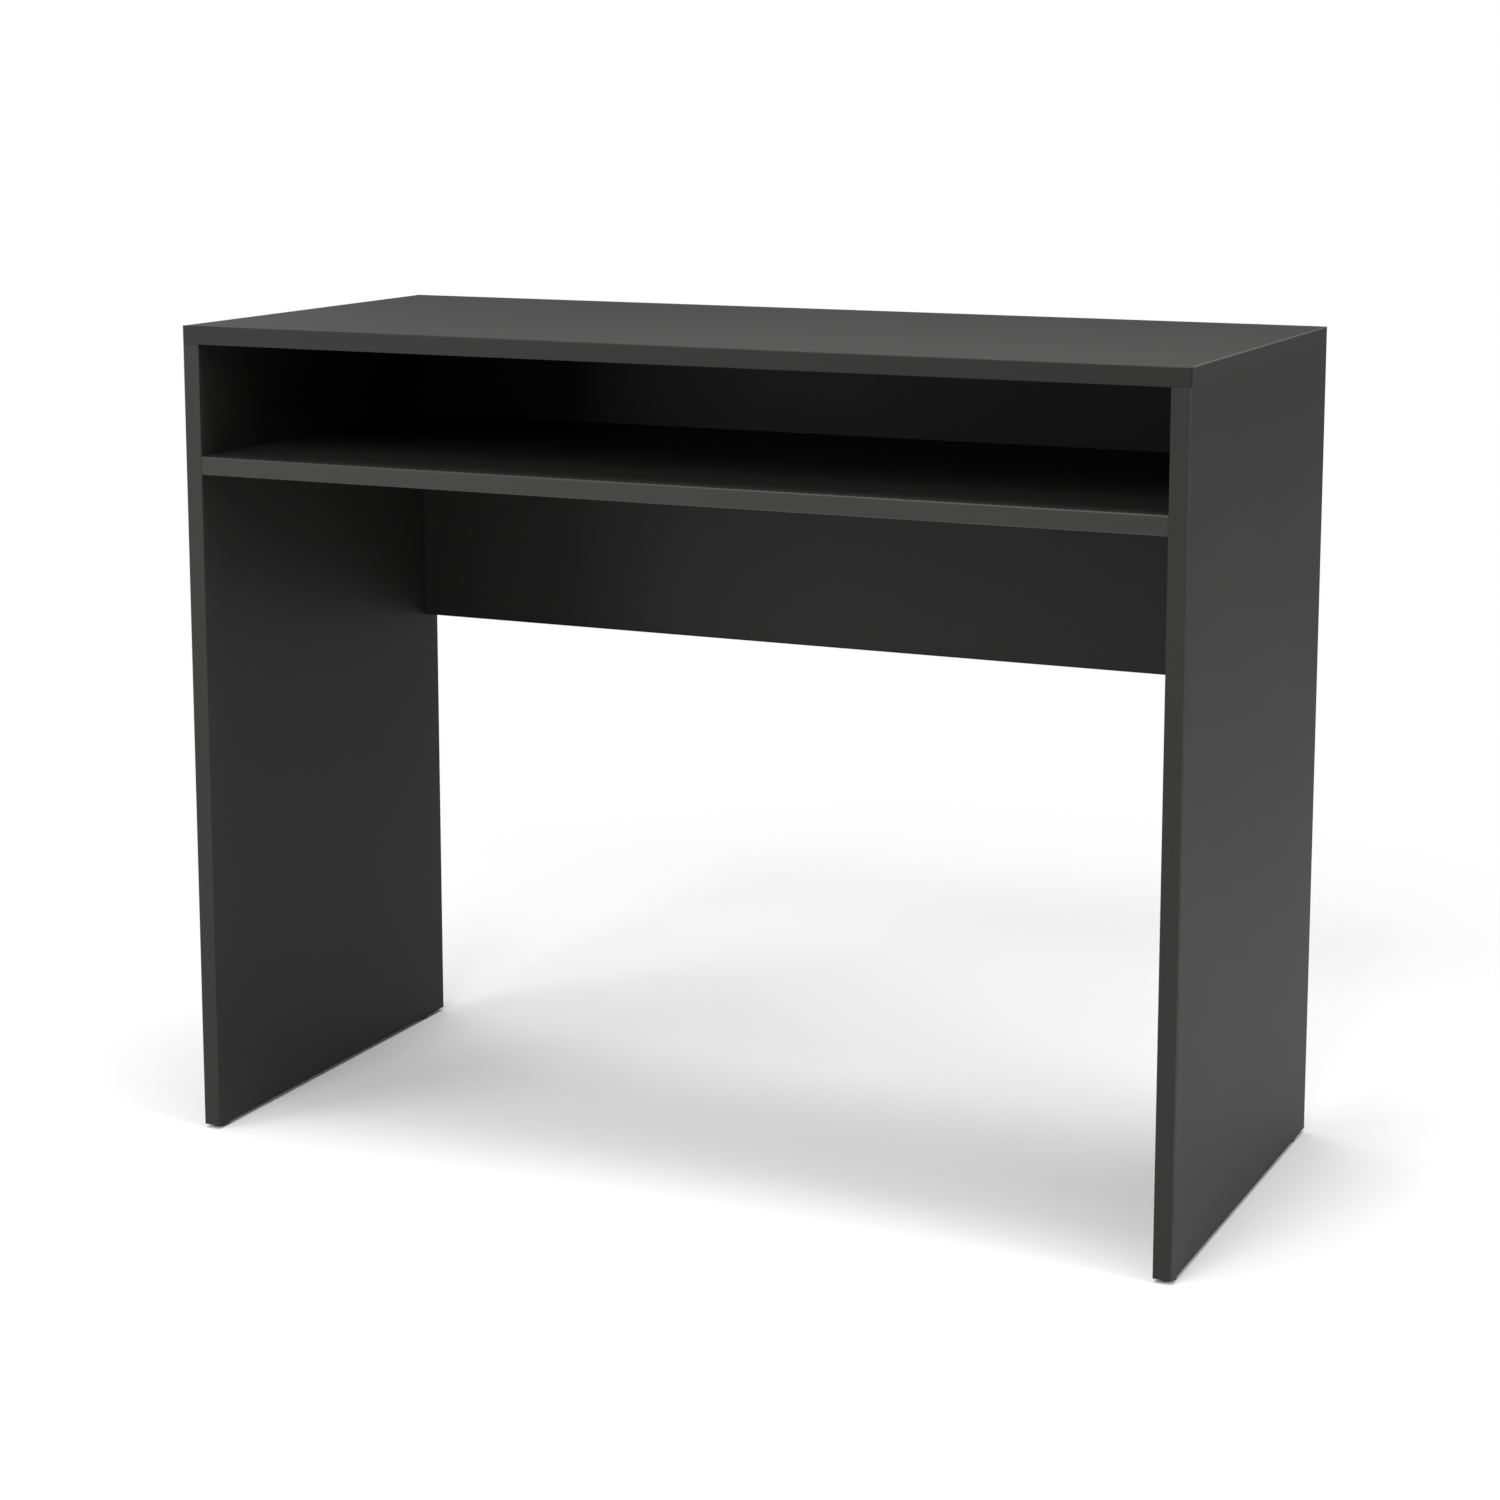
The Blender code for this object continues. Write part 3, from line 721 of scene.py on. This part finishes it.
def glide_mesh(height, radius, tip):
    """Glide: a low dome with a flat sole, and a stem of saw-toothed ribs with a blunt point."""
    drop = height / 2
    angle = np.linspace(math.pi / 2, 0, 13)
    reach = GLIDE_SOLE + (radius - GLIDE_SOLE) * np.cos(angle)
    dome = np.stack([drop - drop * np.sin(angle), reach], axis=-1)
    rows = [(0, 0), (0, GLIDE_SOLE * 0.5), (0, GLIDE_SOLE * 0.9), *dome.tolist(),
            (height - 0.0004, radius), (height, radius - 0.0004), (height, GLIDE_STEM)]
    for low in np.arange(tip - 0.0155, tip - 0.003, GLIDE_RIB_PITCH):
        rows += [(low, GLIDE_STEM), (low, GLIDE_RIB - 0.0002), (low + 0.0002, GLIDE_RIB),
                 (low + 0.0018, GLIDE_STEM)]
    rows += [(tip - 0.0012, GLIDE_STEM), (tip, 0.0014), (tip, 0)]
    return lathe("glide", rows, 72)


# Holes that the fittings stand in.

def cam_bore(key):
    """The cam's round bore, from just outside the board's face."""
    centre, face, toward_bolt = cam_place(key)
    low, high = box(f"cam_{key}")
    depth = float(min(high - low)) + 2 * HOLE_CLEARANCE
    radius = float(max(high - low)) / 2 + HOLE_CLEARANCE
    floor = -depth + HOLE_CLEARANCE
    hole = lathe("bore", [(OUTSIDE, 0), (OUTSIDE, radius), (floor, radius), (floor, 0)], 64)
    return placed(hole, "bore", standing(face, toward_bolt, centre))


def bolt_hole(key):
    """The bolt's stepped hole through both boards."""
    point, inward = bolt_place(key)
    low, high = box(f"cam_bolt_{key}")
    reach = float(max(high - low)) - BOLT_THREAD
    thread, shank = BOLT_CREST + HOLE_CLEARANCE, BOLT_COLLAR + HOLE_CLEARANCE
    end, step, mouth = -BOLT_THREAD - PIN_ROOM, 0.00015, reach - 0.001
    hole = lathe("hole", [(end, 0), (end, thread), (step, thread), (step, shank),
                          (mouth, shank), (mouth, 0)], 32)
    return placed(hole, "hole", standing(inward, any_side(inward), point))


def dowel_hole(key):
    """The dowel's hole, a little longer than the dowel at both ends."""
    low, high = box(f"dowel_{key}")
    axis = AXES[fitting_axis(f"dowel_{key}")]
    half = float(max(high - low)) / 2 + PIN_ROOM
    radius = float(min(high - low)) / 2 + HOLE_CLEARANCE
    hole = lathe("hole", [(-half, 0), (-half, radius), (half, radius), (half, 0)], 32)
    return placed(hole, "hole", standing(axis, any_side(axis), Vector((low + high) / 2)))


def stem_hole(node):
    """The hole for a glide's stem, up through the bottom band into the side panel."""
    _, high = box(node)
    radius, start, end = GLIDE_RIB + HOLE_CLEARANCE, 0.004, high[2] + PIN_ROOM
    hole = lathe("hole", [(start, 0), (start, radius), (end, radius), (end, 0)], 32)
    return placed(hole, "hole", Matrix.Translation(under(node)))


def under(node):
    """The point on the floor under the middle of a node."""
    low, high = box(node)
    return Vector(((low[0] + high[0]) / 2, (low[1] + high[1]) / 2, 0.0))


def holes_in(board):
    """The holes of a board: cam bores, and the pins' holes, each kind as one cutter."""
    bores = [cam_bore(key) for key in CAM_KEYS if holds_cam(board, key)]
    pins = [bolt_hole(key) for key in CAM_KEYS if board in boards_joined(key)]
    pins += [dowel_hole(key) for key in DOWEL_KEYS if board in boards_joined(key)]
    pins += [stem_hole(node) for node in GLIDES if node.endswith(board.split("_")[0])]
    return [joined(kind, meshes) for kind, meshes in (("bores", bores), ("pins", pins)) if meshes]


# Boards and bands.

def mark_sawn(mesh, low, high):
    """Store 1 on the faces of bare chipboard: sawn edges and drillings, and 0 on melamine."""
    through = int(np.argmin(high - low))
    count = len(mesh.polygons)
    centres, normals = np.empty(count * 3), np.empty(count * 3)
    mesh.polygons.foreach_get("center", centres)
    mesh.polygons.foreach_get("normal", normals)
    centres, normals = centres.reshape(-1, 3), normals.reshape(-1, 3)
    near_face = np.minimum(centres[:, through] - low[through], high[through] - centres[:, through])
    melamine = (near_face < FACE_ARRIS) & (np.abs(normals[:, through]) > 0.2)
    layer = mesh.attributes.new("sawn", "FLOAT", "FACE")
    layer.data.foreach_set("value", (~melamine).astype(np.float32))
    return mesh


def make_board(board):
    """A board with crisp melamine faces, chipboard edges and all its drillings."""
    low, high = board_box(board)
    slab = rounded_box(board, low, high, FACE_ARRIS)
    mesh = mark_sawn(carved(slab, *holes_in(board)), low, high)
    mesh.shade_flat()
    return add_piece(f"{board}_board", mesh, MELAMINE, "charcoal_melamine", board)


def band_profile(thickness, width, low_radius, high_radius):
    """Section of a band as (outward, across): flat on the glue side, round at the outer corners."""
    half = width / 2
    lower = arc((thickness - low_radius, low_radius - half), low_radius, -math.pi / 2, 0)
    upper = arc((thickness - high_radius, half - high_radius), high_radius, 0, math.pi / 2)
    inside = np.linspace(low_radius * 1.2 - half, half - high_radius * 1.2, 5)
    flat = np.stack([np.full(5, thickness), inside], axis=-1)
    glue = np.array([(0.0, half), (0.0, half * 0.9), (0.0, -half * 0.9), (0.0, -half)])
    return np.concatenate([lower, flat, upper, glue])


def corner_radius(node, axis, sign):
    """How far a band's corner is rounded: barely, under a board or against another piece."""
    barely = node.endswith("bottom_band") or gap_beyond(node, axis, sign)
    return TIGHT_ARRIS if barely else BAND_ARRIS


def make_band(board, node):
    """A band: its section carried along the board's edge, drawn in at both ends.

    Near an end the section is held to the thickness less the rise of a round corner.
    """
    low, high = box(node)
    thin, middle_axis, along = (int(axis) for axis in np.argsort(high - low))
    low, high = pressed_box(node, [along])
    outer_side = 1 if (low + high)[thin] > sum(box(board))[thin] else -1
    thickness, width = float((high - low)[thin]), float((high - low)[middle_axis])
    section = band_profile(thickness, width, corner_radius(node, middle_axis, -1),
                           corner_radius(node, middle_axis, 1))

    corner = np.linspace(0, math.pi / 2, ARC_STEPS + 1)
    first, last = corner_radius(node, along, -1), corner_radius(node, along, 1)
    stations = np.concatenate([
        low[along] + first * (1 - np.cos(corner)),
        np.linspace(low[along] + 2 * first, high[along] - 2 * last, BAND_STATIONS),
        high[along] - last * (1 - np.cos(corner[::-1])),
    ])
    drawn_in = np.concatenate([first * (1 - np.sin(corner)), np.zeros(BAND_STATIONS),
                               last * (1 - np.sin(corner[::-1]))])
    outward = np.minimum(section[None, :, 0], thickness - drawn_in[:, None])
    points = np.empty((len(stations), len(section), 3))
    glue_side = low[thin] if outer_side > 0 else high[thin]
    points[..., thin] = glue_side + outer_side * outward
    points[..., middle_axis] = (low + high)[middle_axis] / 2 + section[None, :, 1]
    points[..., along] = stations[:, None]

    steps = np.linalg.norm(np.diff(section, axis=0), axis=1)
    girth = np.concatenate([[0.0], np.cumsum(steps)])
    uv = np.stack(np.broadcast_arrays(stations[:, None], girth[None, :]), axis=-1)
    mesh = skin(node, points, uv=uv)
    if node.endswith("side_panel_bottom_band"):
        holes = [stem_hole(glide) for glide in GLIDES if glide.endswith(node.split("_")[0])]
        mesh = carved(mesh, joined("holes", holes))
    mark_arris_highlight(mesh, node, thin, glue_side, middle_axis)
    mark_band_tone(mesh, BAND_TONES.get(node, 1.0))
    smooth(mesh)
    return add_piece(node.replace("_band", "_edging"), mesh, BANDING, "edge_band", node)


def mark_arris_highlight(mesh, node, thin, glue_side, across):
    """Store each point's painted highlight: most in the middle of a round corner that lies free.

    With d the distance to that middle and r the corner's radius it is the band's share of
    painted highlight times 1 - d / (0.8 r), and nothing where that falls below 0.
    """
    low, high = box(node)
    place = np.empty(len(mesh.vertices) * 3)
    mesh.vertices.foreach_get("co", place)
    place = place.reshape(-1, 3)
    middle = BAND_ARRIS * (1 - math.sqrt(0.5))
    sunk = (high - low)[thin] - np.abs(place[:, thin] - glue_side) - middle
    painted_highlight = np.zeros(len(place))
    for sign, inset in ((-1, place[:, across] - low[across]), (1, high[across] - place[:, across])):
        if not gap_beyond(node, across, sign):
            distance = np.hypot(sunk, inset - middle)
            painted_highlight = np.maximum(painted_highlight, 1 - distance / (ARRIS_HIGHLIGHT_REACH * BAND_ARRIS))
    layer = mesh.attributes.new("corner", "FLOAT", "POINT")
    layer.data.foreach_set("value", (ARRIS_HIGHLIGHT_BANDS.get(node, 0.0) * painted_highlight).astype(np.float32))


def mark_band_tone(mesh, tone):
    """Store the band's tone, 0 for the darkest tone in the range and 1 for the lightest."""
    darkest, lightest = BAND_TONE_RANGE
    share = (tone - darkest) / (lightest - darkest)
    layer = mesh.attributes.new("roll", "FLOAT", "POINT")
    layer.data.foreach_set("value", np.full(len(mesh.vertices), share, dtype=np.float32))


def make_boards():
    """The five boards and the bands on their edges."""
    for board in BOARDS:
        make_board(board)
        for node in bands_of(board):
            make_band(board, node)


def make_cams():
    """Twelve cams, alike but for their place, each with its bolt."""
    low, high = box(f"cam_{CAM_KEYS[0]}")
    height, radius = float(min(high - low)), float(max(high - low)) / 2
    centre, face, _ = cam_place(CAM_KEYS[0])
    point, _ = bolt_place(CAM_KEYS[0])
    axis_height = (point - centre).dot(face)
    drum, cross, mark = cam_mesh(height, radius)
    cam = smooth(carved(drum, cross, mark, bolt_channel(axis_height, radius)), 30)
    bolt_low, bolt_high = box(f"cam_bolt_{CAM_KEYS[0]}")
    bolt = smooth(bolt_mesh(float(max(bolt_high - bolt_low)) - BOLT_THREAD), 40)
    for key in CAM_KEYS:
        centre, face, toward_bolt = cam_place(key)
        place = standing(face, toward_bolt, centre)
        add_piece(f"cam_disc_{key}", placed(cam, f"cam_disc_{key}", place), CAST_ZINC, "cast_zinc",
                  f"cam_{key}")
        point, inward = bolt_place(key)
        place = standing(inward, any_side(inward), point)
        add_piece(f"cam_screw_{key}", placed(bolt, f"cam_screw_{key}", place), ZINC,
                  "zinc_plated_steel", f"cam_bolt_{key}")


def make_dowels():
    """Ten dowels."""
    low, high = box(f"dowel_{DOWEL_KEYS[0]}")
    dowel = smooth(dowel_mesh(float(max(high - low)), float(min(high - low)) / 2), 50)
    for key in DOWEL_KEYS:
        low, high = box(f"dowel_{key}")
        axis = AXES[fitting_axis(f"dowel_{key}")]
        place = standing(axis, any_side(axis), Vector((low + high) / 2))
        add_piece(f"dowel_pin_{key}", placed(dowel, f"dowel_pin_{key}", place), BEECH, "beech",
                  f"dowel_{key}")


def make_caps():
    """The cover caps over the cams that face the keyboard compartment."""
    for key in CAP_KEYS:
        centre, face, toward_bolt = cam_place(key)
        low, high = box(f"cap_{key}")
        through = int(np.argmax(np.abs(face)))
        panel_low, panel_high = box(boards_joined(key)[1])
        seat = panel_high[through] if face[through] > 0 else panel_low[through]
        outer = high[through] if face[through] > 0 else low[through]
        across = (through + 1) % 3
        cap = smooth(cap_mesh(float((high - low)[across]) / 2, abs(float(outer - seat)) - SEAM))
        at = centre.copy()
        at[through] = seat + face[through] * SEAM
        place = standing(face, toward_bolt, at)
        add_piece(f"cover_cap_{key}", placed(cap, f"cover_cap_{key}", place), CAP_PLASTIC,
                  "charcoal_plastic", f"cap_{key}")


def make_glides():
    """Four glides."""
    low, high = box(GLIDES[0])
    foot = min(box(node)[0][2] for node in BANDS)
    glide = smooth(glide_mesh(float(foot), float(high[0] - low[0]) / 2, float(high[2])))
    for node in GLIDES:
        place = Matrix.Translation(under(node))
        add_piece(f"{node}_foot", placed(glide, f"{node}_foot", place), BLACK_PLASTIC,
                  "black_plastic", node)


# Studio.

FLOOR_RADIUS = 60.0
FLOOR_FADE = (0.75, 1.35)   # distances from the desk's middle where the fade starts and ends
CAMERA_PLACE = Vector((1.130, -2.484, 0.946))
CAMERA_YAW = 24.53          # degrees to the left of straight ahead
CAMERA_PITCH = 9.13         # degrees down
CAMERA_LENS = 76.2
CAMERA_SHIFT = -0.12        # keeps the desk's uprights nearly upright
AMBIENT = 0.40
DESK_MIDDLE = (0.0, 0.0, 0.4)


def make_floor():
    """A wide pale floor that fades to pure white away from the desk."""
    turn = np.linspace(0, 2 * math.pi, 96, endpoint=False)
    rim = np.stack([FLOOR_RADIUS * np.cos(turn), FLOOR_RADIUS * np.sin(turn), 0 * turn], axis=-1)
    mesh = bpy.data.meshes.new("floor")
    mesh.from_pydata(rim.tolist(), [], [list(range(len(turn)))])
    floor = bpy.data.objects.new("floor", mesh)
    bpy.context.scene.collection.objects.link(floor)
    finish = Finish("pale_floor")
    finish.set(Base_Color=(0.96, 0.96, 0.96, 1.0), Roughness=0.9, Specular_IOR_Level=0.1)
    distance = finish.add("ShaderNodeVectorMath", operation="LENGTH")
    finish.link(finish.place(), distance.inputs[0])
    away = finish.spread(distance.outputs["Value"], *FLOOR_FADE)
    white = finish.add("ShaderNodeEmission")
    path = finish.add("ShaderNodeLightPath")
    seen = finish.sum(away, path.outputs["Is Camera Ray"], "MULTIPLY")
    pick = finish.add("ShaderNodeMixShader")
    finish.link(seen, pick.inputs["Fac"])
    finish.link(finish.shader.outputs["BSDF"], pick.inputs[1])
    finish.link(white.outputs["Emission"], pick.inputs[2])
    finish.link(pick.outputs["Shader"], finish.tree.nodes["Material Output"].inputs["Surface"])
    mesh.materials.append(finish.material)


def make_softbox(name, place, aim, size, power):
    """A soft light of a width and a height, turned towards a point; the camera doesn't see it."""
    data = bpy.data.lights.new(name, "AREA")
    data.shape = "RECTANGLE"
    data.size, data.size_y = size
    data.energy = power
    light = bpy.data.objects.new(name, data)
    bpy.context.scene.collection.objects.link(light)
    light.location = place
    light.rotation_euler = (Vector(aim) - Vector(place)).to_track_quat("-Z", "Y").to_euler()
    light.visible_camera = False


def make_lights():
    """Softboxes in front, overhead, low to the left and to the right, in a white room.

    A narrow strip hangs low over the front edge of the top and lights it towards the sitter.
    """
    make_softbox("front_high", (0.0, -2.8, 2.8), DESK_MIDDLE, (1.8, 1.8), 72)
    make_softbox("overhead", (0.0, 0.2, 3.2), (0.0, 0.0, 0.0), (3.0, 3.0), 58)
    make_softbox("strip_over_front", (0.2, -0.24, 1.12), (0.2, -0.2, 0.72), (0.8, 0.1), 3.0)
    make_softbox("front_left_low", (-2.2, -2.6, 0.9), DESK_MIDDLE, (1.4, 1.4), 41)
    make_softbox("right_side", (1.9, -0.3, 1.15), (0.45, 0.0, 0.6), (0.8, 0.8), 9)
    make_softbox("rear_left", (-2.6, 2.2, 1.8), DESK_MIDDLE, (1.4, 1.4), 2.9)
    world = bpy.data.worlds.new("studio")
    bpy.context.scene.world = world
    world.use_nodes = True
    tree = world.node_tree
    seen = tree.nodes["Background"]
    seen.inputs["Color"].default_value = (1, 1, 1, 1)
    seen.inputs["Strength"].default_value = 1.0
    lit = tree.nodes.new("ShaderNodeBackground")
    lit.inputs["Color"].default_value = (1, 1, 1, 1)
    lit.inputs["Strength"].default_value = AMBIENT
    path = tree.nodes.new("ShaderNodeLightPath")
    pick = tree.nodes.new("ShaderNodeMixShader")
    tree.links.new(path.outputs["Is Camera Ray"], pick.inputs["Fac"])
    tree.links.new(lit.outputs["Background"], pick.inputs[1])
    tree.links.new(seen.outputs["Background"], pick.inputs[2])
    tree.links.new(pick.outputs["Shader"], tree.nodes["World Output"].inputs["Surface"])


def make_camera():
    """The camera, a little above the top and to the right of the desk."""
    data = bpy.data.cameras.new("camera")
    data.sensor_width = 36.0
    data.lens = CAMERA_LENS
    data.shift_y = CAMERA_SHIFT
    camera = bpy.data.objects.new("camera", data)
    bpy.context.scene.collection.objects.link(camera)
    camera.location = CAMERA_PLACE
    camera.rotation_euler = (math.radians(90 - CAMERA_PITCH), 0.0, math.radians(CAMERA_YAW))
    bpy.context.scene.camera = camera


def write_sizes():
    """Bring the view layer up to date."""
    bpy.context.view_layer.update()


make_camera()
make_boards()
make_cams()
make_caps()
make_dowels()
make_glides()
make_floor()
make_lights()
bpy.context.scene.view_settings.view_transform = "Standard"
write_sizes()
